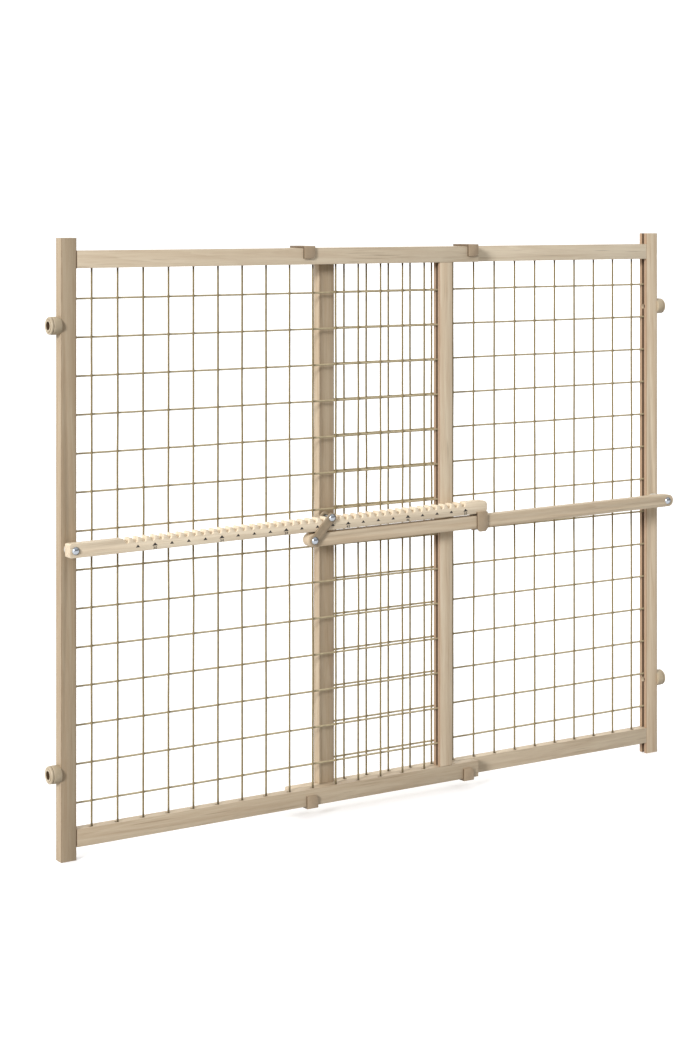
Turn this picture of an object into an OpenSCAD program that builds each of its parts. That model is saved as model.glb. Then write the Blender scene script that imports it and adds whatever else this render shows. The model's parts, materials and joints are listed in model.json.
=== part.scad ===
// Safety gate of wood and welded wire that is wedged between two walls.
// Two panels slide over each other along X; a notched bar and a latch bar lock the width.
// X runs along the gate, Y from the front (-Y) to the back, Z up from the floor.
// Local X below is counted from the outer face of the left post, local Y from the front
// face of the front panel.

/* [Gate] */
// Width over the bumpers at the modelled setting
gate_w = 1064; // [1000:1:1080]
// Height of the two posts
post_h = 812.8; // [780:0.1:840]
// Width of a post, along X
post_w = 22; // [20:0.5:24]
// Width of the front stile, along X
front_stile_w = 23; // [20:0.5:25]
// Width of the rear stile, along X
rear_stile_w = 24.5; // [20:0.5:25]
// Depth of every frame stick, along Y
stick_d = 16; // [15:0.5:18]
// Height of a rail
rail_h = 23; // [20:0.5:25]
// How far a post runs past the rails, above and below
post_past_rail = 16.8; // [12:0.2:20]
// Gap between the front panel and the rear panel
panel_gap = 0.6; // [0.4:0.1:1]
// Length of a panel from its post's outer face to its rails' free ends
panel_len = 673; // [660:1:680]
// Far side of the front stile, from its panel's post's outer face
front_stile_far = 626.5; // [615:0.5:630]
// Far side of the rear stile, from its panel's post's outer face
rear_stile_far = 625.5; // [615:0.5:630]
// Groove in a post or stile that takes the wires and the rails' tongues
groove_w = 5; // [4:0.5:6]
// Open joint that shows between the left post and the front rails
joint_gap = 1.2; // [0:0.1:1.5]

/* [Wire mesh] */
// Diameter of the wire
wire_d = 2.8; // [2:0.1:2.8]
// Spacing of the upright wires
upright_pitch = 38.1; // [38:0.1:38.2]
// Spacing of the cross wires
cross_pitch = 50.8; // [50:0.1:51]
// First upright wire, from the post's outer face
first_upright = 47; // [46:0.5:48]
// Height of the top cross wire
top_cross_z = 733; // [730:1:736]
// Number of upright wires in a panel
uprights = 15; // [10:1:15]
// Number of cross wires in a panel
crosses = 14; // [10:1:14]

/* [Bumpers] */
// Outer diameter of a bumper
bumper_d = 24; // [22:0.5:25]
// Length of a bumper outside the post
bumper_len = 15.5; // [14:0.5:16]
// Distance of a bumper's axis from each end of its post
bumper_inset = 114.3; // [110:0.1:120]
// Bore for a wall screw
wall_screw_bore_d = 5.2; // [4.8:0.1:5.6]

/* [Guide clips] */
// Length of a clip along the rail
clip_w = 18; // [16:0.5:20]
// Wall of a clip
clip_t = 3; // [2.5:0.1:3.2]
// Length of a clip's lips on the rails' faces
clip_lip = 14.5; // [12:0.5:16]

/* [Lock] */
// Height of the notched bar's pivot above the floor
left_pivot_z = 407.6; // [400:0.1:412]
// Rise of both bars to the right, in degrees
bar_tilt = 0.7; // [0.6:0.05:0.75]
// Thickness of both bars, along Y
bar_t = 15; // [14:0.5:15]
// Space between the front panel and the bars
bar_standoff = 6; // [6:0.1:7]
// Height of the notched bar
notched_h = 18.5; // [18:0.1:19]
// Height of the latch bar
latch_h = 18; // [17.5:0.1:18.5]
// Space between the two bars
bar_gap = 3; // [3:0.1:3.6]
// Distance of the rod in use from the notched bar's pivot
rod_u = 391.8; // [391:0.1:393]
// Distance of the links' two holes
link_len = 41; // [40.5:0.1:42]
// Width of a link
link_w = 13; // [12:0.5:13.5]
// Diameter of the rod that drops into a notch
rod_d = 5; // [4.8:0.1:5.2]
// Distance from one notch to the next
notch_pitch = 12.7; // [12.7:0.1:12.8]
// Depth of a notch
notch_depth = 6.6; // [6.6:0.1:7]
// Notches to the left of the one in use
notches_left = 25; // [17:1:25]
// Notches to the right of the one in use
notches_right = 18; // [17:1:18]

/* [Hidden] */

// Running clearance of a shaft in its hole, on the radius
run = 0.05;
// Slide clearance between a clip and the panel that it guides
slide = 0.3;
// Small overlap that makes a cut pass right through
eps = 0.5;
$fn = 48;

left_x = -gate_w / 2 + bumper_len;
post_span = gate_w - 2 * bumper_len;
rear_y = stick_d + panel_gap;
rail_top_z = post_h - post_past_rail;
rail_under_z = rail_top_z - rail_h;
low_rail_top_z = post_past_rail + rail_h;

groove_d = 5;
tongue_in = groove_d - 0.4;
tongue_t = groove_w - 0.2;
wire_in = 4;
hole_d = 6;
hole_deep = 8;
hole_off = 1.5;
wire_bury = 6.5;
upright_y = 6.6;
cross_y = upright_y + 0.86 * wire_d;

// Bumpers
spigot_d = 8.8;
post_hole_d = 9;
spigot_len = 16.5;
recess_d = 11;
recess_deep = 12;
ring_d = 16.5;
ring_lift = 0.8;
disc_d = 23.4;
disc_t = 3;
neck_d = 21.6;
neck_w = 0.7;

// Clips, counted from the free end of their own rail
front_top_clip_in = 2;
front_bottom_clip_in = 10;
rear_top_clip_in = 10;
rear_bottom_clip_in = 15;
clip_corner = 3.5;
clip_screw_d = 3;
clip_screw_len = 12;
clip_head_d = 6;

// Pivots and the layout of the bars
bolt_d = 6;
dome_d = 11;
dome_h = 3.4;
nut_t = 4.5;
nut_w = 10;
washer_t = 1;
spacer_d = 15;
bar_back_y = -bar_standoff;
bar_front_y = bar_back_y - bar_t;
left_pivot_x = post_w / 2;
right_pivot_x = post_span - post_w / 2;
pivot_span = right_pivot_x - left_pivot_x;
bar_sep = notched_h / 2 + bar_gap + latch_h / 2;

// Along the notched bar from its pivot; heights from its centre line
rod_below_crest = 1;
rod_w = notched_h / 2 - rod_below_crest;
link_rise = bar_sep + rod_w;
link_run = sqrt(link_len * link_len - link_rise * link_rise);
link_angle = atan2(link_rise, link_run);
rivet_u = rod_u - link_run;
right_pivot_u = (pivot_span - bar_sep * sin(bar_tilt)) / cos(bar_tilt);
right_pivot_z = left_pivot_z + right_pivot_u * sin(bar_tilt) - bar_sep * cos(bar_tilt);
latch_len = right_pivot_u - rivet_u;
latch_past_pivot = 2;
notched_start_u = -8.5;
notched_end_u = 662.5;
saddle_w = 18.5;
saddle_from_u = notched_end_u - saddle_w - 1;

// A notch: a round seat between a sloping left flank and an upright right flank.
// The seat is deep enough for the rod at every width.
seat_r = 3;
seat_w = notched_h / 2 - notch_depth + seat_r;
notch_left = -5.6;
notch_right = 3.2;

link_t = 3;
link_play = 0.3;
rear_head_h = 1.8;
rivet_head_d = 8;
web_t = 2.5;
leg_t = 2.6;
leg_bottom_w = -bar_sep - latch_h / 2 - 5;
leg_chamfer = 4;
saddle_screw_d = 3;
saddle_screw_len = 12;
saddle_head_d = 6;
saddle_head_h = 1;

// The frame's origin is the middle of the box on the floor
back_reach = rear_y + stick_d + washer_t + nut_t;
front_reach = bar_front_y - link_play - link_t - dome_h;
front_y = -(back_reach + front_reach) / 2;

module placed() { translate([left_x, front_y, 0]) children(); }

// The rear panel is the front one turned end for end
module in_rear() { translate([post_span, rear_y, 0]) mirror([1, 0, 0]) children(); }

// A round bar along Y from y to y + len
module y_rod(d, y, len) { translate([0, y, 0]) rotate([-90, 0, 0]) cylinder(d = d, h = len); }

module x_rod(d, x, len) { translate([x, 0, 0]) rotate([0, 90, 0]) cylinder(d = d, h = len); }

// A domed head along -Y that sits on the plane Y = y
module dome_head(d, h, y) {
    sphere_r = (d * d / 4 + h * h) / (2 * h);
    translate([0, y, 0]) rotate([90, 0, 0]) rotate_extrude() intersection() {
        translate([0, h - sphere_r]) circle(r = sphere_r, $fn = 96);
        square([d / 2, h]);
    }
}

// ---- Frame sticks, in panel coordinates ----

module post(pivot_z) {
    difference() {
        cube([post_w, stick_d, post_h]);
        translate([post_w - groove_d, (stick_d - groove_w) / 2, -eps])
            cube([groove_d + eps, groove_w, post_h + 2 * eps]);
        for (z = [bumper_inset, post_h - bumper_inset])
            translate([0, stick_d / 2, z]) x_rod(post_hole_d, -eps, post_w + 2 * eps);
        translate([post_w / 2, 0, pivot_z]) y_rod(bolt_d + 2 * run, -eps, stick_d + 2 * eps);
    }
}

module stile(w, far) {
    translate([far - w, 0, low_rail_top_z]) difference() {
        cube([w, stick_d, rail_under_z - low_rail_top_z]);
        translate([-eps, (stick_d - groove_w) / 2, -eps])
            cube([groove_d + eps, groove_w, rail_under_z - low_rail_top_z + 2 * eps]);
    }
}

// A rail with wire holes on one face: face = 1 above, -1 below
module rail(z, face, gap, clip_in) {
    face_z = face > 0 ? z + rail_h : z;
    clip_x = panel_len - clip_in - clip_w / 2;
    difference() {
        union() {
            translate([post_w + gap, 0, z]) cube([panel_len - post_w - gap, stick_d, rail_h]);
            translate([post_w - tongue_in, (stick_d - tongue_t) / 2, z])
                cube([tongue_in + gap + eps, tongue_t, rail_h]);
        }
        for (i = [0 : uprights - 1])
            translate([first_upright + i * upright_pitch - hole_off, upright_y,
                       face > 0 ? face_z - hole_deep : face_z - eps])
                cylinder(d = hole_d, h = hole_deep + eps, $fn = 24);
        // pilot hole of the clip's screw, on the outer face
        translate([clip_x, stick_d / 2, face > 0 ? z - eps : z + rail_h - clip_screw_len])
            cylinder(d = clip_screw_d + 0.2, h = clip_screw_len + eps, $fn = 24);
    }
}

// The welded wires between the post and a stile whose near side is at stile_near
module wire_mesh(stile_near) {
    low_z = low_rail_top_z - wire_bury;
    first_x = post_w - wire_in;
    last_x = stile_near + wire_in;
    union() {
        for (i = [0 : uprights - 1])
            translate([first_upright + i * upright_pitch, upright_y, low_z])
                cylinder(d = wire_d, h = rail_under_z + wire_bury - low_z, $fn = 8);
        for (j = [0 : crosses - 1])
            translate([first_x, cross_y, top_cross_z - j * cross_pitch]) rotate([0, 90, 0])
                cylinder(d = wire_d, h = last_x - first_x, $fn = 8);
    }
}

// A bumper on the outer face of a post: a body, a neck, a disc with a raised ring round
// the recess, and a hollow spigot in the post
module bumper() {
    disc_y = bumper_len - ring_lift;
    translate([0, stick_d / 2, 0]) rotate([0, -90, 0]) rotate_extrude() polygon([
        [wall_screw_bore_d / 2, -spigot_len], [spigot_d / 2, -spigot_len],
        [spigot_d / 2, 0], [bumper_d / 2, 0], [bumper_d / 2, disc_y - disc_t - neck_w - 0.6],
        [bumper_d / 2 - 0.6, disc_y - disc_t - neck_w], [neck_d / 2, disc_y - disc_t - neck_w],
        [neck_d / 2, disc_y - disc_t], [disc_d / 2, disc_y - disc_t], [disc_d / 2, disc_y - 1],
        [disc_d / 2 - 1, disc_y], [ring_d / 2 + 0.6, disc_y], [ring_d / 2 + 0.3, disc_y - 0.6],
        [ring_d / 2, disc_y - 0.6], [ring_d / 2, bumper_len - 0.4], [ring_d / 2 - 0.4, bumper_len],
        [recess_d / 2 + 0.6, bumper_len], [recess_d / 2, bumper_len - 0.6],
        [recess_d / 2, bumper_len - recess_deep], [wall_screw_bore_d / 2, bumper_len - recess_deep]
    ]);
}

// A clip over the top rails. own = 0 is fixed to the front rail, 1 to the rear rail
module clip(own) {
    front_in = own == 0 ? 0 : -slide;
    rear_in = rear_y + stick_d + (own == 0 ? slide : 0);
    lip_z = -clip_lip;
    seat_y = own == 0 ? front_in : rear_y;
    difference() {
        union() {
            translate([0, front_in - clip_t, slide])
                cube([clip_w, rear_in - front_in + 2 * clip_t, clip_t - slide]);
            translate([0, seat_y, 0]) cube([clip_w, stick_d, clip_t]);
            for (y = [front_in - clip_t, rear_in])
                translate([0, y + clip_t, 0]) rotate([90, 0, 0]) linear_extrude(clip_t) polygon([
                    [0, clip_t], [0, lip_z], [clip_w - clip_corner, lip_z],
                    [clip_w, lip_z + clip_corner], [clip_w, clip_t]
                ]);
        }
        translate([clip_w / 2, seat_y + stick_d / 2, 0]) {
            translate([0, 0, -eps]) cylinder(d = clip_screw_d + 0.2, h = clip_t + 2 * eps);
            translate([0, 0, clip_t - 1.8]) cylinder(d = clip_head_d + 0.3, h = 2.4);
        }
    }
}

module clip_screw() {
    translate([0, 0, clip_t - clip_screw_len]) cylinder(d = clip_screw_d, h = clip_screw_len - 1);
    translate([0, 0, clip_t - 1.7]) difference() {
        cylinder(d = clip_head_d, h = 1.4);
        for (a = [0, 90]) rotate(a) translate([-2, -0.4, 0.6]) cube([4, 0.8, 2]);
    }
}

// Puts a clip, or its screw, on the top (side = 1) or bottom (side = -1) rails
module at_clip(side, x) {
    if (side > 0) translate([x, 0, rail_top_z]) children();
    else translate([x, 0, post_past_rail]) mirror([0, 0, 1]) children();
}

// ---- Lock ----

// Places children on the notched bar: u along it from the left pivot, heights from its centre
module on_notched() {
    translate([left_pivot_x, 0, left_pivot_z]) rotate([0, -bar_tilt, 0]) children();
}

// Places children under the middle of the saddle bracket's web
module on_saddle() {
    translate([saddle_from_u + saddle_w / 2, bar_back_y - bar_t / 2, -notched_h / 2]) children();
}

// Places children at the link's rivet, in the direction of the bars
module on_rivet() { on_notched() translate([rivet_u, 0, -bar_sep]) children(); }

// An outline in X and Z, made solid from y towards the front
module towards_front(y, t) { translate([0, y, 0]) rotate([90, 0, 0]) linear_extrude(t) children(); }

// The space of one notch: its seat is a circle, its flanks are tangents to it
module notch_space() {
    crest = notched_h / 2;
    rise = crest - seat_w;
    left_a = atan2(rise, -notch_left) + asin(seat_r / norm([notch_left, rise]));
    right_a = atan2(rise, notch_right) + asin(seat_r / norm([notch_right, rise]));
    translate([0, seat_w]) circle(r = seat_r, $fn = 32);
    polygon([
        [notch_left, crest], [-seat_r * sin(left_a), seat_w - seat_r * cos(left_a)], [0, seat_w],
        [seat_r * sin(right_a), seat_w - seat_r * cos(right_a)], [notch_right, crest],
        [notch_right, crest + eps], [notch_left, crest + eps]
    ]);
}

// What a rounding of radius r takes off a corner at the origin that points to +X and +Y
module corner_waste(r) {
    difference() {
        translate([-r, -r]) square(r + eps);
        translate([-r, -r]) circle(r = r);
    }
}

// A bar from x0 to x1 with its corners rounded: r0 at the left end, r1 at the right end
module rounded_bar(x0, x1, h, r0, r1) {
    difference() {
        translate([x0, -h / 2]) square([x1 - x0, h]);
        for (side = [0, 1]) mirror([0, side]) {
            translate([x0, h / 2]) mirror([1, 0]) corner_waste(r0);
            translate([x1, h / 2]) corner_waste(r1);
        }
    }
}

module notched_bar_outline() {
    difference() {
        rounded_bar(notched_start_u, notched_end_u, notched_h, 2.5, 6.5);
        for (k = [-notches_left : notches_right])
            translate([rod_u + k * notch_pitch, 0]) notch_space();
        // rebate of the saddle bracket's web
        translate([saddle_from_u, -notched_h / 2 - eps]) square([saddle_w, web_t + eps]);
    }
}

module latch_bar_outline() {
    difference() {
        union() {
            translate([0, -latch_h / 2]) square([latch_len + latch_past_pivot, latch_h]);
            for (x = [0, latch_len + latch_past_pivot]) translate([x, 0]) circle(d = latch_h);
        }
        circle(d = rod_d + 2 * run);
        translate([latch_len, 0]) circle(d = bolt_d + 2 * run);
    }
}

module link_outline() {
    difference() {
        union() {
            translate([0, -link_w / 2]) square([link_len, link_w]);
            for (x = [0, link_len]) translate([x, 0]) circle(d = link_w);
        }
        for (x = [0, link_len]) translate([x, 0]) circle(d = rod_d + 2 * run);
    }
}

// A rod through both links with a dome in front and a flat head behind
module link_pin() {
    front = bar_front_y - link_play - link_t;
    back = bar_back_y + link_play + link_t;
    y_rod(rod_d, front, back - front);
    dome_head(dome_d, dome_h, front);
    y_rod(rivet_head_d, back, rear_head_h);
}

module pivot_bolt(back) {
    y_rod(bolt_d, bar_front_y, back - bar_front_y);
    dome_head(dome_d, dome_h, bar_front_y);
}

module pivot_nut(y) {
    translate([0, y, 0]) rotate([-90, 0, 0]) difference() {
        union() {
            cylinder(d = nut_w + 3, h = washer_t);
            translate([0, 0, washer_t]) cylinder(d = nut_w / cos(30), h = nut_t, $fn = 6);
        }
        translate([0, 0, -eps]) cylinder(d = bolt_d + 2 * run, h = nut_t + washer_t - 1);
    }
}

module spacer(y, len) {
    difference() {
        y_rod(spacer_d, y, len);
        y_rod(bolt_d + 2 * run, y - eps, len + 2 * eps);
    }
}

// ---- Sub-parts ----

wood = "BurlyWood";
plastic = "Tan";

module left_post() { color(wood) placed() post(left_pivot_z); }
module front_top_rail() {
    color(wood) placed() rail(rail_under_z, -1, joint_gap, front_top_clip_in);
}
module front_bottom_rail() {
    color(wood) placed() rail(post_past_rail, 1, joint_gap, front_bottom_clip_in);
}
module front_stile() { color(wood) placed() stile(front_stile_w, front_stile_far); }
module front_wire_mesh() {
    color("DarkKhaki") placed() wire_mesh(front_stile_far - front_stile_w);
}
module front_top_clip() {
    color(plastic) placed() at_clip(1, panel_len - front_top_clip_in - clip_w) clip(0);
}
module front_bottom_clip() {
    color(plastic) placed() at_clip(-1, panel_len - front_bottom_clip_in - clip_w) clip(0);
}
module left_top_bumper() {
    color("Wheat") placed() translate([0, 0, post_h - bumper_inset]) bumper();
}
module left_bottom_bumper() { color("Wheat") placed() translate([0, 0, bumper_inset]) bumper(); }
module front_clip_screws() {
    color("Silver") placed() {
        at_clip(1, panel_len - front_top_clip_in - clip_w / 2)
            translate([0, stick_d / 2, 0]) clip_screw();
        at_clip(-1, panel_len - front_bottom_clip_in - clip_w / 2)
            translate([0, stick_d / 2, 0]) clip_screw();
    }
}
module left_pivot_bolt() {
    color("Silver") placed() translate([left_pivot_x, 0, left_pivot_z])
        pivot_bolt(stick_d + washer_t + nut_t - 2);
}
module left_pivot_washer() {
    color("White") placed() translate([left_pivot_x, 0, left_pivot_z])
        spacer(bar_back_y, bar_standoff);
}
module left_pivot_nut() {
    color("Silver") placed() translate([left_pivot_x, 0, left_pivot_z]) pivot_nut(stick_d);
}

module right_post() { color(wood) placed() in_rear() post(right_pivot_z); }
module rear_top_rail() {
    color(wood) placed() in_rear() rail(rail_under_z, -1, 0, rear_top_clip_in);
}
module rear_bottom_rail() {
    color(wood) placed() in_rear() rail(post_past_rail, 1, 0, rear_bottom_clip_in);
}
module rear_stile() { color(wood) placed() in_rear() stile(rear_stile_w, rear_stile_far); }
module rear_wire_mesh() {
    color("DarkKhaki") placed() in_rear() wire_mesh(rear_stile_far - rear_stile_w);
}
module rear_top_clip() {
    color(plastic) placed() at_clip(1, post_span - panel_len + rear_top_clip_in) clip(1);
}
module rear_bottom_clip() {
    color(plastic) placed() at_clip(-1, post_span - panel_len + rear_bottom_clip_in) clip(1);
}
module right_top_bumper() {
    color("Wheat") placed() in_rear() translate([0, 0, post_h - bumper_inset]) bumper();
}
module right_bottom_bumper() {
    color("Wheat") placed() in_rear() translate([0, 0, bumper_inset]) bumper();
}
module rear_clip_screws() {
    color("Silver") placed() {
        at_clip(1, post_span - panel_len + rear_top_clip_in + clip_w / 2)
            translate([0, rear_y + stick_d / 2, 0]) clip_screw();
        at_clip(-1, post_span - panel_len + rear_bottom_clip_in + clip_w / 2)
            translate([0, rear_y + stick_d / 2, 0]) clip_screw();
    }
}
module right_pivot_bolt() {
    color("Silver") placed() translate([right_pivot_x, 0, right_pivot_z])
        pivot_bolt(rear_y + stick_d + washer_t + nut_t - 2);
}
module right_pivot_spacer() {
    color("White") placed() translate([right_pivot_x, 0, right_pivot_z])
        spacer(bar_back_y, rear_y + bar_standoff);
}
module right_pivot_nut() {
    color("Silver") placed() translate([right_pivot_x, 0, right_pivot_z]) pivot_nut(rear_y + stick_d);
}

module notched_bar() {
    color(wood) placed() on_notched() difference() {
        towards_front(bar_back_y, bar_t) notched_bar_outline();
        y_rod(bolt_d + 2 * run, bar_front_y - eps, bar_t + 2 * eps);
        on_saddle() cylinder(d = saddle_screw_d + 0.2, h = saddle_screw_len + eps);
    }
}
// Straddles the latch bar from above and guides it
module saddle_bracket() {
    web_top_w = web_t - notched_h / 2;
    leg_y = [bar_back_y + link_play + leg_t, bar_front_y - link_play];
    color(plastic) placed() on_notched() difference() {
        union() {
            translate([saddle_from_u, bar_front_y - link_play - leg_t, -notched_h / 2])
                cube([saddle_w, bar_t + 2 * (link_play + leg_t), web_t]);
            for (y = leg_y) translate([saddle_from_u, 0, 0]) towards_front(y, leg_t) polygon([
                [0, web_top_w], [0, leg_bottom_w + leg_chamfer], [leg_chamfer, leg_bottom_w],
                [saddle_w - leg_chamfer, leg_bottom_w], [saddle_w, leg_bottom_w + leg_chamfer],
                [saddle_w, web_top_w]
            ]);
        }
        on_saddle() {
            translate([0, 0, -eps]) cylinder(d = saddle_screw_d + 0.2, h = web_t + 2 * eps);
            translate([0, 0, -eps]) cylinder(d = saddle_head_d + 0.3, h = saddle_head_h + eps);
        }
    }
}
module saddle_screw() {
    color("Silver") placed() on_notched() on_saddle() {
        cylinder(d = saddle_screw_d, h = saddle_screw_len);
        cylinder(d = saddle_head_d, h = saddle_head_h);
    }
}
module latch_bar() {
    color(wood) placed() on_rivet() towards_front(bar_back_y, bar_t) latch_bar_outline();
}
module front_link() {
    color(plastic) placed() on_rivet() rotate([0, -link_angle, 0])
        towards_front(bar_front_y - link_play, link_t) link_outline();
}
module rear_link() {
    color(plastic) placed() on_rivet() rotate([0, -link_angle, 0])
        towards_front(bar_back_y + link_play + link_t, link_t) link_outline();
}
module notch_rod() {
    color("Silver") placed() on_rivet() translate([link_run, 0, link_rise]) link_pin();
}
module link_rivet() { color("Silver") placed() on_rivet() link_pin(); }

left_post();
front_top_rail();
front_bottom_rail();
front_stile();
front_wire_mesh();
front_top_clip();
front_bottom_clip();
left_top_bumper();
left_bottom_bumper();
front_clip_screws();
left_pivot_bolt();
left_pivot_washer();
left_pivot_nut();
right_post();
rear_top_rail();
rear_bottom_rail();
rear_stile();
rear_wire_mesh();
rear_top_clip();
rear_bottom_clip();
right_top_bumper();
right_bottom_bumper();
rear_clip_screws();
right_pivot_bolt();
right_pivot_spacer();
right_pivot_nut();
notched_bar();
saddle_bracket();
saddle_screw();
latch_bar();
front_link();
rear_link();
notch_rod();
link_rivet();
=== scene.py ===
"""Looks of the safety gate: wood, wire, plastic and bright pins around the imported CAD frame."""
import json
import math
import random

import bmesh
import bpy
from mathutils import Matrix, Vector


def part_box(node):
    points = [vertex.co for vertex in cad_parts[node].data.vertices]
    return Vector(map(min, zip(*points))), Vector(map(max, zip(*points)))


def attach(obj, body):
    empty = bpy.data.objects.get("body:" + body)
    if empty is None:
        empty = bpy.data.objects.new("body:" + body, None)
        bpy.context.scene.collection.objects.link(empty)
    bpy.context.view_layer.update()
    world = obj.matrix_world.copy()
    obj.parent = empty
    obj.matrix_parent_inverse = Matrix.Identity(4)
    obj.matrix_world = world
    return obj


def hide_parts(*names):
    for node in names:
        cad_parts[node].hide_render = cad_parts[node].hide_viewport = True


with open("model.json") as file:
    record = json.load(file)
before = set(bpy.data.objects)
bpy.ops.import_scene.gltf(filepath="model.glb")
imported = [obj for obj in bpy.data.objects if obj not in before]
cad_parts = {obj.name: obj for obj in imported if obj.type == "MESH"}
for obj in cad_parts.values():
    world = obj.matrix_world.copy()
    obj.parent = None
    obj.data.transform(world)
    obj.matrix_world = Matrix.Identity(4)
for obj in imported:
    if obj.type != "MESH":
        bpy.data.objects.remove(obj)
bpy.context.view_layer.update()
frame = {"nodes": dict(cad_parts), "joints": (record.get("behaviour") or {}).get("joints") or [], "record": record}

MM = 0.001

# ---- Sizes from the frame ----

joint_at = {j["name"]: Vector(j["pos_m"]) for j in frame["joints"] if "pos_m" in j}
body_of = {n: body for body, ns in frame["record"]["behaviour"]["bodies"].items() for n in ns}

BAR_TILT = math.radians(0.7)       # both bars rise to the right
BAR_HALF_H = 9.25 * MM             # half the height of a bar
NOTCH_INCH = 25.4 * MM             # two notches
MARK_30 = 115.4 * MM               # along the notched bar, from its pivot
SLOT_DEPTH = 5.6 * MM              # how far the grooves' painted shade goes into a stick
SLOT_HALF_W = 2.5 * MM             # half the width of a groove
RECESS_R = 5.5 * MM                # radius of a bumper's recess
WIRE_R = 1.4 * MM
UPRIGHTS = 15
CROSSES = 14
UPRIGHT_PITCH = 38.1 * MM
CROSS_PITCH = 50.8 * MM
FIRST_UPRIGHT = 47 * MM            # from the post's outer face
TOP_CROSS_Z = 733 * MM
WIRE_STEP = 12.7 * MM              # between the points of a wire
UPRIGHT_SWAY = 0.9 * MM            # most that a wire strays from straight
CROSS_SWAY = 0.35 * MM
MESH_MIDDLE_Z = 406.4 * MM
RAIL_SHADE_REACH = (357 * MM, 366 * MM)  # where the painted shade on the wires near the rails begins and is full, from the middle

# How far edges are eased
ARRIS = 0.9 * MM                   # the panels' sticks
BAR_ARRIS = 0.25 * MM
CLIP_ARRIS = 0.7 * MM
LINK_ARRIS = 0.6 * MM
BUMPER_ARRIS = 0.3 * MM
SPACER_ARRIS = 0.5 * MM
PIN_ARRIS = 0.35 * MM
NUT_ARRIS = 0.25 * MM


def linked(name, mesh):
    piece = bpy.data.objects.new(name, mesh)
    bpy.context.scene.collection.objects.link(piece)
    return piece


def smooth(mesh, angle=38):
    mesh.shade_smooth()
    mesh.set_sharp_from_angle(angle=math.radians(angle))


def stands_for(piece, node, material):
    """A finished piece takes the CAD node's place and body."""
    piece.data.materials.clear()
    piece.data.materials.append(material)
    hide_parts(node)
    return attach(piece, body_of[node])


# ---- Node helpers ----

class Nodes:
    """Short calls that add and join shader nodes."""

    def __init__(self, name):
        material = bpy.data.materials.new(name)
        material.use_nodes = True
        self.open(material)

    def open(self, material):
        self.material = material
        self.tree = material.node_tree
        self.shader = self.tree.nodes["Principled BSDF"]
        self.coords = self.tree.nodes.new("ShaderNodeTexCoord")

    @classmethod
    def on(cls, material):
        """Calls for a material that is already made."""
        nodes = cls.__new__(cls)
        nodes.open(material)
        return nodes

    def put(self, socket, value):
        if isinstance(value, bpy.types.NodeSocket):
            self.tree.links.new(value, socket)
        else:
            socket.default_value = value

    def math(self, operation, a, b=0.0, clamp=False):
        node = self.tree.nodes.new("ShaderNodeMath")
        node.operation = operation
        node.use_clamp = clamp
        self.put(node.inputs[0], a)
        self.put(node.inputs[1], b)
        return node.outputs[0]

    def mapped(self, scale=(1, 1, 1), place=(0, 0, 0), turn=(0, 0, 0), source=None):
        node = self.tree.nodes.new("ShaderNodeMapping")
        self.put(node.inputs["Vector"], source or self.coords.outputs["Object"])
        node.inputs["Scale"].default_value = scale
        node.inputs["Location"].default_value = place
        node.inputs["Rotation"].default_value = turn
        return node.outputs[0]

    def noise(self, vector, scale, detail=2.0, rough=0.5, distortion=0.0):
        node = self.tree.nodes.new("ShaderNodeTexNoise")
        self.put(node.inputs["Vector"], vector)
        node.inputs["Scale"].default_value = scale
        node.inputs["Detail"].default_value = detail
        node.inputs["Roughness"].default_value = rough
        node.inputs["Distortion"].default_value = distortion
        return node.outputs["Fac"]

    def rings(self, vector, scale, distortion):
        node = self.tree.nodes.new("ShaderNodeTexWave")
        node.wave_type = "BANDS"
        node.bands_direction = "DIAGONAL"
        node.wave_profile = "SAW"
        self.put(node.inputs["Vector"], vector)
        node.inputs["Scale"].default_value = scale
        node.inputs["Distortion"].default_value = distortion
        node.inputs["Detail"].default_value = 3.0
        node.inputs["Detail Scale"].default_value = 0.8
        return node.outputs["Fac"]

    def span(self, value, low, high, to_low=0.0, to_high=1.0):
        node = self.tree.nodes.new("ShaderNodeMapRange")
        node.interpolation_type = "SMOOTHSTEP"
        self.put(node.inputs["Value"], value)
        node.inputs["From Min"].default_value = low
        node.inputs["From Max"].default_value = high
        node.inputs["To Min"].default_value = to_low
        node.inputs["To Max"].default_value = to_high
        return node.outputs["Result"]

    def blend(self, factor, a, b, mode="MIX"):
        node = self.tree.nodes.new("ShaderNodeMix")
        node.data_type = "RGBA"
        node.blend_type = mode
        self.put(node.inputs["Factor"], factor)
        self.put(node.inputs["A"], a if isinstance(a, bpy.types.NodeSocket) else (*a, 1))
        self.put(node.inputs["B"], b if isinstance(b, bpy.types.NodeSocket) else (*b, 1))
        return node.outputs["Result"]

    def parts(self, vector):
        node = self.tree.nodes.new("ShaderNodeSeparateXYZ")
        self.put(node.inputs[0], vector)
        return node.outputs

    def bump(self, height, strength, distance, under=None):
        node = self.tree.nodes.new("ShaderNodeBump")
        node.inputs["Strength"].default_value = strength
        node.inputs["Distance"].default_value = distance
        self.put(node.inputs["Height"], height)
        if under is not None:
            self.put(node.inputs["Normal"], under)
        return node.outputs[0]

    def set(self, **sockets):
        for name, value in sockets.items():
            socket = self.shader.inputs[name.replace("_", " ")]
            self.put(socket, (*value, 1) if isinstance(value, tuple) and len(value) == 3 else value)
        return self.material


# ---- Wood ----

LIGHT_WOOD = (0.700, 0.590, 0.430)
DARK_WOOD = (0.510, 0.390, 0.260)
# Dark wood for the pores, also used as painted shade along the arrises
PORE_AND_SHADE_WOOD = (0.250, 0.175, 0.105)
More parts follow.
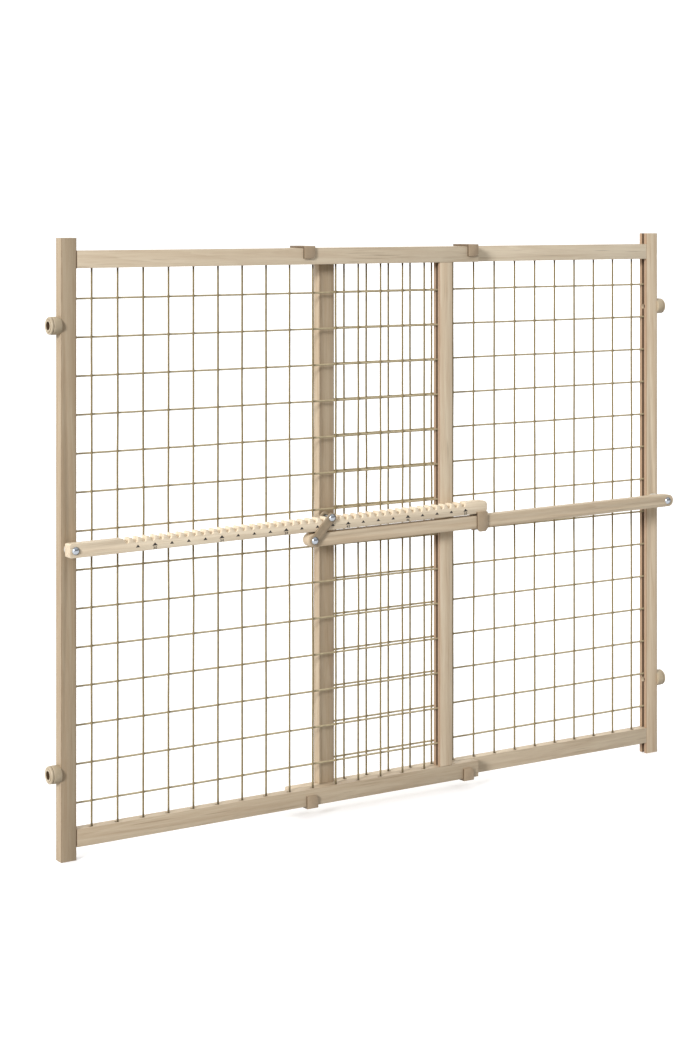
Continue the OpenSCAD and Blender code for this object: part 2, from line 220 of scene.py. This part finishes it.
# How light each stick's wood is, partly its own tone and partly painted light and shade; the others are 1
TONE_AND_SHADE = {"left_post": 0.62, "rear_stile": 0.72, "front_top_rail": 1.02, "right_post": 0.94,
        "front_bottom_rail": 0.84, "rear_top_rail": 1.16, "rear_bottom_rail": 0.95,
        "notched_bar": 1.18, "latch_bar": 0.90}
RAW_AND_SHADED_WOOD = (0.290, 0.165, 0.090)     # the grooved face: unsanded wood, darkened further by painted shade
SLOT_SHADE = (0.120, 0.070, 0.038)    # painted shade inside a groove
GROOVED = {"left_post": 1, "rear_stile": 1, "front_stile": -1, "right_post": -1}
# How strong the painted shade along each stick's arrises is; the others are 0.3
ARRIS_SHADE = {"left_post": 1.0, "right_post": 0.6, "notched_bar": 0.12}


def wood(node, along, tilt=0.0, warmth=0.0):
    """Pale close-grained wood for a stick. along is the grain's axis, 0 for X or 2 for Z."""
    name = "wood_" + node
    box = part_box(node)
    draw = random.Random(name)
    n = Nodes(name)
    centre = (box[0] + box[1]) / 2
    half = (box[1] - box[0]) / 2
    if tilt:
        half.z = BAR_HALF_H
    turned = n.mapped(place=(-centre.x, -centre.y, -centre.z))
    if tilt:
        turned = n.mapped(turn=(0, tilt, 0), source=turned)
    stretch = [1.0, 1.0, 1.0]
    stretch[along] = 0.045
    shift = [draw.uniform(-4, 4) for _ in range(3)]
    grain = n.mapped(scale=stretch, place=shift, source=turned)

    # Wide growth bands, narrow bands in them, and fine fibres
    wander = n.noise(grain, 28, 3, 0.55, 0.6)
    bands = n.span(n.noise(grain, 95, 4, 0.6, 1.2), 0.36, 0.66)
    lines = n.rings(grain, 62, 9.0)
    fibres = n.noise(grain, 900, 2, 0.6)
    stretch[along] = 0.02
    along_pores = n.mapped(scale=stretch, place=shift[::-1], source=turned)
    pores = n.span(n.noise(along_pores, 620, 1, 0.4), 0.66, 0.76)
    cloud = n.noise(turned, 9, 2)

    depth = n.math("MULTIPLY", bands, 0.42)
    depth = n.math("ADD", depth, n.math("MULTIPLY", lines, 0.20))
    depth = n.math("ADD", depth, n.math("MULTIPLY", n.span(wander, 0.35, 0.7), 0.22))
    depth = n.math("ADD", depth, n.math("MULTIPLY", n.math("SUBTRACT", fibres, 0.5), 0.55))
    depth = n.math("ADD", depth, n.math("MULTIPLY", n.math("SUBTRACT", cloud, 0.5), 0.35), clamp=True)
    # the stick's own tone together with its painted light and shade
    tone_and_shade = TONE_AND_SHADE.get(node, 1.0)
    tint = (tone_and_shade, tone_and_shade ** 1.12, tone_and_shade ** 1.28)    # darker wood is warmer too
    light = tuple(c * t for c, t in zip(LIGHT_WOOD, tint))
    dark = tuple(c * t * w for c, t, w in zip(DARK_WOOD, tint, (1 + warmth, 1, 1 - warmth)))
    colour = n.blend(depth, light, dark)
    colour = n.blend(n.math("MULTIPLY", pores, 0.45), colour, PORE_AND_SHADE_WOOD)

    # Painted shade along the arrises: how near the closest long edge is
    near = n.parts(turned)
    others = [i for i in range(3) if i != along]
    gaps = [n.math("SUBTRACT", half[i], n.math("ABSOLUTE", near[i])) for i in others]
    edge = n.span(n.math("MAXIMUM", *gaps), 0.2 * MM, 1.5 * MM, 1, 0)
    wear_and_shade = n.math("MULTIPLY", edge, n.span(n.noise(turned, 70, 2), 0.3, 0.7, 0.4, 0.8))
    wear_and_shade = n.math("MULTIPLY", wear_and_shade, ARRIS_SHADE.get(node, 0.3))
    colour = n.blend(wear_and_shade, colour, PORE_AND_SHADE_WOOD)

    # The grooved face: raw wood with painted shade, and painted shade deep in the groove
    if node in GROOVED:
        inward = n.math("MULTIPLY", near[0], GROOVED[node])
        face = n.span(inward, half.x - 0.7 * MM, half.x - 0.4 * MM, 0, 0.75)
        colour = n.blend(face, colour, RAW_AND_SHADED_WOOD)
        deep = n.span(inward, half.x - SLOT_DEPTH, half.x - SLOT_DEPTH + 0.5 * MM)
        narrow = n.span(n.math("ABSOLUTE", near[1]), SLOT_HALF_W, SLOT_HALF_W + 0.4 * MM, 0.9, 0)
        colour = n.blend(n.math("MULTIPLY", deep, narrow), colour, SLOT_SHADE)

    # End grain drinks the finish and is darker
    facing = n.math("ABSOLUTE", n.parts(n.coords.outputs["Normal"])[along])
    to_end = n.math("SUBTRACT", half[along], n.math("ABSOLUTE", near[along]))
    end = n.math("MULTIPLY", n.span(facing, 0.8, 0.95), n.span(to_end, 6 * MM, 9 * MM, 1, 0))
    pith = n.rings(n.mapped(turn=(0.4, 0.5, 0.3), source=turned), 110, 2.5)
    colour = n.blend(n.math("MULTIPLY", end, n.span(pith, 0, 1, 0.25, 0.6)), colour, DARK_WOOD)

    rough = n.math("ADD", n.span(fibres, 0.3, 0.7, 0.50, 0.66), n.math("MULTIPLY", pores, 0.12))
    height = n.math("SUBTRACT", n.math("MULTIPLY", fibres, 0.6), n.math("MULTIPLY", pores, 0.7))
    relief = n.bump(height, 0.35, 0.12 * MM)
    return n.set(Base_Color=colour, Roughness=rough, Normal=relief, Specular_IOR_Level=0.35)


# ---- Wire, plastic, rubber and metal ----

def wire_coat(name, colour, deep):
    """Powder-coated wire: fine orange peel, thin spots and painted shade where it runs into the rails."""
    n = Nodes(name)
    place = n.coords.outputs["Object"]
    mottle = n.noise(place, 160, 3)
    colour = n.blend(n.span(mottle, 0.3, 0.7), colour, deep)
    thin = n.span(n.noise(place, 700, 2), 0.66, 0.74)
    colour = n.blend(n.math("MULTIPLY", thin, 0.4), colour, (0.50, 0.43, 0.30))
    # Painted shade on the wire where it runs into the rails
    height = n.parts(place)[2]
    reach = n.math("ABSOLUTE", n.math("SUBTRACT", height, MESH_MIDDLE_Z))
    rail_shade = n.span(reach, *RAIL_SHADE_REACH)
    colour = n.blend(n.math("MULTIPLY", rail_shade, 0.65), colour, (0.055, 0.040, 0.026))
    return n.set(Base_Color=colour, Roughness=n.span(mottle, 0.3, 0.7, 0.5, 0.62),
                 Specular_IOR_Level=0.25,
                 Normal=n.bump(n.noise(place, 1500, 2), 0.25, 0.05 * MM))


def moulded(name, colour, deep, rough=0.5, grain=1800, strength=0.3, flank_shade=None):
    """Moulded plastic or rubber: fine texture, flow clouds and rubbed patches.

    Faces that look along X are given the flank colour instead, as painted shade.
    """
    n = Nodes(name)
    place = n.coords.outputs["Object"]
    cloud = n.noise(place, 90, 3)
    tint = n.blend(n.span(cloud, 0.3, 0.7), colour, deep)
    rubbed = n.span(n.noise(place, 260, 3, 0.65), 0.58, 0.72)
    tint = n.blend(n.math("MULTIPLY", rubbed, 0.22), tint, tuple(min(1, c * 1.45) for c in colour))
    # painted shade on the faces that look along X
    if flank_shade:
        across = n.math("ABSOLUTE", n.parts(n.coords.outputs["Normal"])[0])
        tint = n.blend(n.span(across, 0.55, 0.85), tint, flank_shade)
    fine = n.noise(place, grain, 2)
    return n.set(Base_Color=tint, Roughness=n.span(cloud, 0.3, 0.7, rough - 0.06, rough + 0.08),
                 Normal=n.bump(fine, strength, 0.05 * MM))


def bumper_rubber(node):
    """Beige rubber whose recess is painted dark brown: painted shade."""
    low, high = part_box(node)
    centre = (low + high) / 2
    material = moulded("rubber_" + node, (0.460, 0.375, 0.255), (0.400, 0.320, 0.210),
                       0.5, 1200, 0.2)
    n = Nodes.on(material)
    place = n.parts(n.mapped(place=(0, -centre.y, -centre.z)))
    radius = n.math("SQRT", n.math("ADD", n.math("MULTIPLY", place[1], place[1]),
                                   n.math("MULTIPLY", place[2], place[2])))
    # painted shade in the recess
    recess_shade = n.span(radius, RECESS_R, RECESS_R + 0.4 * MM, 1, 0)
    plain = n.shader.inputs["Base Color"].links[0].from_socket
    return n.set(Base_Color=n.blend(recess_shade, plain, (0.085, 0.050, 0.022)))


def bright(name, face, rim_reflection, rough):
    """Plated steel with faint polishing scratches and a painted dark reflection towards the rim."""
    n = Nodes(name)
    place = n.coords.outputs["Object"]
    turn = n.tree.nodes.new("ShaderNodeLayerWeight")
    turn.inputs["Blend"].default_value = 0.35
    haze = n.noise(place, 420, 3)
    # painted reflection: darker where the surface turns away from the view
    tint = n.blend(n.span(turn.outputs["Facing"], 0.15, 0.8), face, rim_reflection)
    scratch = n.noise(n.mapped(scale=(1, 1, 0.08), turn=(0, 0.6, 0)), 3200, 1)
    return n.set(Base_Color=tint, Metallic=1.0,
                 Roughness=n.span(haze, 0.3, 0.7, rough, rough + 0.12),
                 Normal=n.bump(scratch, 0.12, 0.02 * MM))


def ink():
    """Dry printed ink that lets a little wood through."""
    n = Nodes("ink")
    place = n.coords.outputs["Object"]
    wear_and_shade = n.span(n.noise(place, 2600, 3), 0.62, 0.75)
    tint = n.blend(n.math("MULTIPLY", wear_and_shade, 0.5), (0.022, 0.016, 0.012), (0.20, 0.14, 0.09))
    return n.set(Base_Color=tint, Roughness=n.span(n.noise(place, 900, 2), 0.3, 0.7, 0.55, 0.75))


# ---- Pieces made from the CAD shapes, with eased edges ----

def eased(node, width):
    """A copy of a CAD node's shape whose sharp edges are rounded."""
    mesh = frame["nodes"][node].data.copy()
    bm = bmesh.new()
    bm.from_mesh(mesh)
    bmesh.ops.remove_doubles(bm, verts=bm.verts, dist=0.002 * MM)
    bmesh.ops.dissolve_limit(bm, angle_limit=math.radians(0.6), verts=bm.verts, edges=bm.edges)
    bm.to_mesh(mesh)
    bm.free()
    piece = linked(node + ".eased", mesh)
    bevel = piece.modifiers.new("arris", "BEVEL")
    bevel.width = width
    bevel.segments = 2
    bevel.limit_method = "ANGLE"
    bevel.angle_limit = math.radians(40)
    bevel.use_clamp_overlap = True
    graph = bpy.context.evaluated_depsgraph_get()
    finished = bpy.data.meshes.new_from_object(piece.evaluated_get(graph))
    piece.modifiers.clear()
    piece.data = finished
    smooth(finished)
    return piece


def make_sticks():
    for node in ("left_post", "right_post", "front_stile", "rear_stile"):
        stands_for(eased(node, ARRIS), node, wood(node, 2, warmth=0.04))
    for node in ("front_top_rail", "front_bottom_rail", "rear_top_rail", "rear_bottom_rail"):
        stands_for(eased(node, ARRIS), node, wood(node, 0))
    for node, warmth in (("notched_bar", 0.0), ("latch_bar", 0.03)):
        stands_for(eased(node, BAR_ARRIS), node, wood(node, 0, BAR_TILT, warmth))


def make_fittings():
    # the clips' and bracket's sides carry a painted shade
    taupe = moulded("taupe_plastic", (0.400, 0.300, 0.195), (0.350, 0.258, 0.165), 0.46,
                    flank_shade=(0.130, 0.085, 0.045))
    for node in ("front_top_clip", "front_bottom_clip", "rear_top_clip", "rear_bottom_clip",
                 "saddle_bracket"):
        stands_for(eased(node, CLIP_ARRIS), node, taupe)
    link = moulded("link_plastic", (0.320, 0.245, 0.155), (0.270, 0.200, 0.125), 0.42)
    for node in ("front_link", "rear_link"):
        stands_for(eased(node, LINK_ARRIS), node, link)
    for node in ("left_top_bumper", "left_bottom_bumper", "right_top_bumper",
                 "right_bottom_bumper"):
        stands_for(eased(node, BUMPER_ARRIS), node, bumper_rubber(node))
    spacer = moulded("spacer_plastic", (0.62, 0.58, 0.50), (0.54, 0.50, 0.42), 0.45)
    for node in ("left_pivot_washer", "right_pivot_spacer"):
        stands_for(eased(node, SPACER_ARRIS), node, spacer)
    pins = bright("bright_pins", (0.40, 0.43, 0.47), (0.05, 0.055, 0.06), 0.12)
    for node in ("left_pivot_bolt", "right_pivot_bolt", "notch_rod", "link_rivet"):
        stands_for(eased(node, PIN_ARRIS), node, pins)
    steel = bright("zinc_steel", (0.50, 0.49, 0.46), (0.25, 0.25, 0.24), 0.30)
    for node in ("left_pivot_nut", "right_pivot_nut", "front_clip_screws", "rear_clip_screws",
                 "saddle_screw"):
        stands_for(eased(node, NUT_ARRIS), node, steel)


# ---- Welded wire ----

def tube(bm, points, sides=10):
    """A closed wire along points that lie in a plane of one Y."""
    rings = []
    for i, p in enumerate(points):
        ahead = points[min(i + 1, len(points) - 1)] - points[max(i - 1, 0)]
        side = ahead.cross(Vector((0, 1, 0))).normalized()
        up = side.cross(ahead).normalized()
        turns = [2 * math.pi * (k + 0.5) / sides for k in range(sides)]
        rings.append([bm.verts.new(p + WIRE_R * (math.cos(a) * side + math.sin(a) * up))
                      for a in turns])
    for a, b in zip(rings, rings[1:]):
        for k in range(sides):
            bm.faces.new((a[k], a[(k + 1) % sides], b[(k + 1) % sides], b[k]))
    bm.faces.new(rings[0][::-1])
    bm.faces.new(rings[-1])


def sway(draw, reach, length):
    """A wire's small bends, as a function of the distance along it; 0 at both ends."""
    waves = [(draw.uniform(-1, 1) * reach / k, k, draw.uniform(0, 2 * math.pi))
             for k in (2, 3, 5, 8)]
    return lambda s: math.sin(math.pi * s / length) * sum(
        a * math.sin(2 * math.pi * k * s / length + p) for a, k, p in waves)


def steps(start, end):
    """Evenly spaced values from start to end, about WIRE_STEP apart."""
    count = round((end - start) / WIRE_STEP)
    return [start + (end - start) * k / count for k in range(count + 1)]


def make_wire_mesh(node, post, turned_round, shaded_upright_coat, cross_coat):
    """The panel's uprights, its cross wires behind them and a nugget at each weld."""
    draw = random.Random(node)
    low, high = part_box(node)
    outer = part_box(post)[1].x if turned_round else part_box(post)[0].x
    way = -1 if turned_round else 1
    front_y = low.y + WIRE_R
    back_y = high.y - WIRE_R
    heights = steps(low.z, high.z)
    spots = steps(low.x, high.x)
    bm = bmesh.new()
    bends = []
    for i in range(UPRIGHTS):
        x = outer + way * (FIRST_UPRIGHT + i * UPRIGHT_PITCH)
        bend = sway(draw, UPRIGHT_SWAY, high.z - low.z)
        bends.append((x, bend))
        tube(bm, [Vector((x + bend(z - low.z), front_y, z)) for z in heights])
    of_uprights = len(bm.faces)
    for j in range(CROSSES):
        z = TOP_CROSS_Z - j * CROSS_PITCH
        dip = sway(draw, CROSS_SWAY, high.x - low.x)
        tube(bm, [Vector((x, back_y, z + dip(x - low.x))) for x in spots])
        for x, bend in bends:
            here = Vector((x + bend(z - low.z), (front_y + back_y) / 2, z + dip(x - low.x)))
            shape = Matrix.Translation(here) @ Matrix.Diagonal((1.3, 0.75, 1.3, 1))
            bmesh.ops.create_icosphere(bm, subdivisions=1, radius=WIRE_R * 0.95, matrix=shape)
    bmesh.ops.recalc_face_normals(bm, faces=bm.faces)
    mesh = bpy.data.meshes.new(node + ".wires")
    bm.to_mesh(mesh)
    bm.free()
    smooth(mesh, 50)
    stands_for(linked(node + ".wires", mesh), node, cross_coat)
    # the uprights take the darker coat, which is painted shade
    mesh.materials.append(shaded_upright_coat)
    coat_of = [int(face < of_uprights) for face in range(len(mesh.polygons))]
    mesh.polygons.foreach_set("material_index", coat_of)


# ---- Printed scale of the notched bar ----

INK_T = 0.05 * MM
MARKS = range(29, 51)              # inches
NUMBER_EVERY = 4
MARK_FOOT = -4.0 * MM              # from the bar's middle
BIG_MARK = (8.2 * MM, 4.2 * MM)    # width and height of a triangle with a number
SMALL_MARK = (6.2 * MM, 3.7 * MM)
NUMBER_FOOT = -8.4 * MM
NUMBER_SIZE = 4.9 * MM


def on_bar(along, up):
    """A point of the notched bar's front face: along it from the pivot, up from its middle."""
    pivot = joint_at["notched_bar_lift"]
    c, s = math.cos(BAR_TILT), math.sin(BAR_TILT)
    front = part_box("notched_bar")[0].y
    return Vector((pivot.x + along * c - up * s, front, pivot.z + along * s + up * c))


def printed(bm, outline):
    """A flat printed shape: outline holds points (along, up), anticlockwise."""
    skin = Vector((0, INK_T, 0))
    front = [bm.verts.new(on_bar(*p) - skin) for p in outline]
    back = [bm.verts.new(on_bar(*p) + skin) for p in outline]
    count = len(outline)
    bm.faces.new(front)
    bm.faces.new(back[::-1])
    for k in range(count):
        bm.faces.new((front[(k + 1) % count], front[k], back[k], back[(k + 1) % count]))


def triangle(along, width, height):
    return [(along - width / 2, MARK_FOOT), (along + width / 2, MARK_FOOT),
            (along, MARK_FOOT + height)]


def add_number(bm, number, along):
    curve = bpy.data.curves.new("number", "FONT")
    curve.body = str(number)
    curve.size = NUMBER_SIZE
    curve.align_x = "CENTER"
    curve.space_character = 1.25
    curve.extrude = INK_T
    curve.offset = 0.03 * NUMBER_SIZE
    flat = linked("number", curve)
    graph = bpy.context.evaluated_depsgraph_get()
    mesh = bpy.data.meshes.new_from_object(flat.evaluated_get(graph))
    mesh.transform(Matrix.Translation(on_bar(along, NUMBER_FOOT)) @ Matrix.Rotation(-BAR_TILT, 4, "Y")
                   @ Matrix.Rotation(math.pi / 2, 4, "X"))
    bm.from_mesh(mesh)
    bpy.data.objects.remove(flat)
    bpy.data.meshes.remove(mesh)


def make_scale(material):
    bm = bmesh.new()
    for mark in MARKS:
        along = MARK_30 + (mark - 30) * NOTCH_INCH
        if (mark - 30) % NUMBER_EVERY == 0:
            printed(bm, triangle(along, *BIG_MARK))
            add_number(bm, mark, along)
        else:
            printed(bm, triangle(along, *SMALL_MARK))
    bmesh.ops.remove_doubles(bm, verts=bm.verts, dist=0.0002 * MM)
    bmesh.ops.recalc_face_normals(bm, faces=bm.faces)
    mesh = bpy.data.meshes.new("scale_print")
    bm.to_mesh(mesh)
    bm.free()
    piece = linked("scale_print", mesh)
    piece.data.materials.append(material)
    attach(piece, "notched_bar")


# ---- Studio ----

def make_floor():
    bm = bmesh.new()
    bmesh.ops.create_grid(bm, x_segments=2, y_segments=2, size=30)
    mesh = bpy.data.meshes.new("floor")
    bm.to_mesh(mesh)
    bm.free()
    floor = linked("floor", mesh)
    n = Nodes("floor")
    haze = n.noise(n.coords.outputs["Object"], 3, 2)
    white = n.blend(haze, (0.93, 0.93, 0.93), (0.96, 0.96, 0.96))
    mesh.materials.append(n.set(Base_Color=white, Roughness=0.7,
                                Emission_Color=(1, 1, 1), Emission_Strength=0.25))
    floor.visible_diffuse = False    # it bounces no light onto the gate


def sky_patch(tree, way, low, high, amount):
    """Extra brightness where a component of the sky's direction goes from low to high."""
    node = tree.nodes.new("ShaderNodeMapRange")
    node.interpolation_type = "SMOOTHSTEP"
    node.inputs["From Min"].default_value = low
    node.inputs["From Max"].default_value = high
    node.inputs["To Max"].default_value = amount
    tree.links.new(way, node.inputs["Value"])
    return node.outputs["Result"]


def make_sky(world):
    """A white studio: bright behind the gate and overhead, dimmer in front."""
    world.use_nodes = True
    tree = world.node_tree
    way = tree.nodes.new("ShaderNodeSeparateXYZ")
    tree.links.new(tree.nodes.new("ShaderNodeTexCoord").outputs["Generated"], way.inputs[0])
    patches = [sky_patch(tree, way.outputs["Y"], 0.0, 0.5, 0.76),
               sky_patch(tree, way.outputs["Z"], 0.35, 0.8, 0.45)]
    total = None
    for patch in patches:
        add = tree.nodes.new("ShaderNodeMath")
        tree.links.new(patch, add.inputs[0])
        if total is None:
            add.inputs[1].default_value = 0.42
        else:
            tree.links.new(total, add.inputs[1])
        total = add.outputs[0]
    sky = tree.nodes["Background"]
    sky.inputs["Color"].default_value = (1, 1, 1, 1)
    tree.links.new(total, sky.inputs["Strength"])


def make_studio():
    scene = bpy.context.scene
    scene.world = bpy.data.worlds.new("studio")
    make_sky(scene.world)
    scene.view_settings.view_transform = "Standard"
    key = bpy.data.lights.new("key", "SUN")
    key.energy = 3.0
    key.angle = math.radians(14)
    key.color = (0.98, 0.99, 1.03)
    lamp = linked("key", key)
    lamp.rotation_euler = Vector((0.86, 0.43, -0.33)).to_track_quat("-Z", "Y").to_euler()

    camera = bpy.data.cameras.new("camera")
    camera.lens = 73.77
    camera.sensor_width = 36
    camera.shift_y = -0.2996
    eye = linked("camera", camera)
    eye.location = (-1.7263, -2.5548, 0.8486)
    eye.rotation_euler = (math.pi / 2, 0, math.radians(-33.03))
    scene.camera = eye


make_studio()
make_floor()
make_sticks()
make_fittings()
# The uprights' coat is a darker copy of the cross wires' coat: painted shade
coats = (wire_coat("shaded_upright_coat", (0.265, 0.200, 0.095), (0.205, 0.155, 0.074)),
         wire_coat("cross_coat", (0.500, 0.415, 0.255), (0.400, 0.332, 0.205)))
make_wire_mesh("front_wire_mesh", "left_post", False, *coats)
make_wire_mesh("rear_wire_mesh", "right_post", True, *coats)
make_scale(ink())
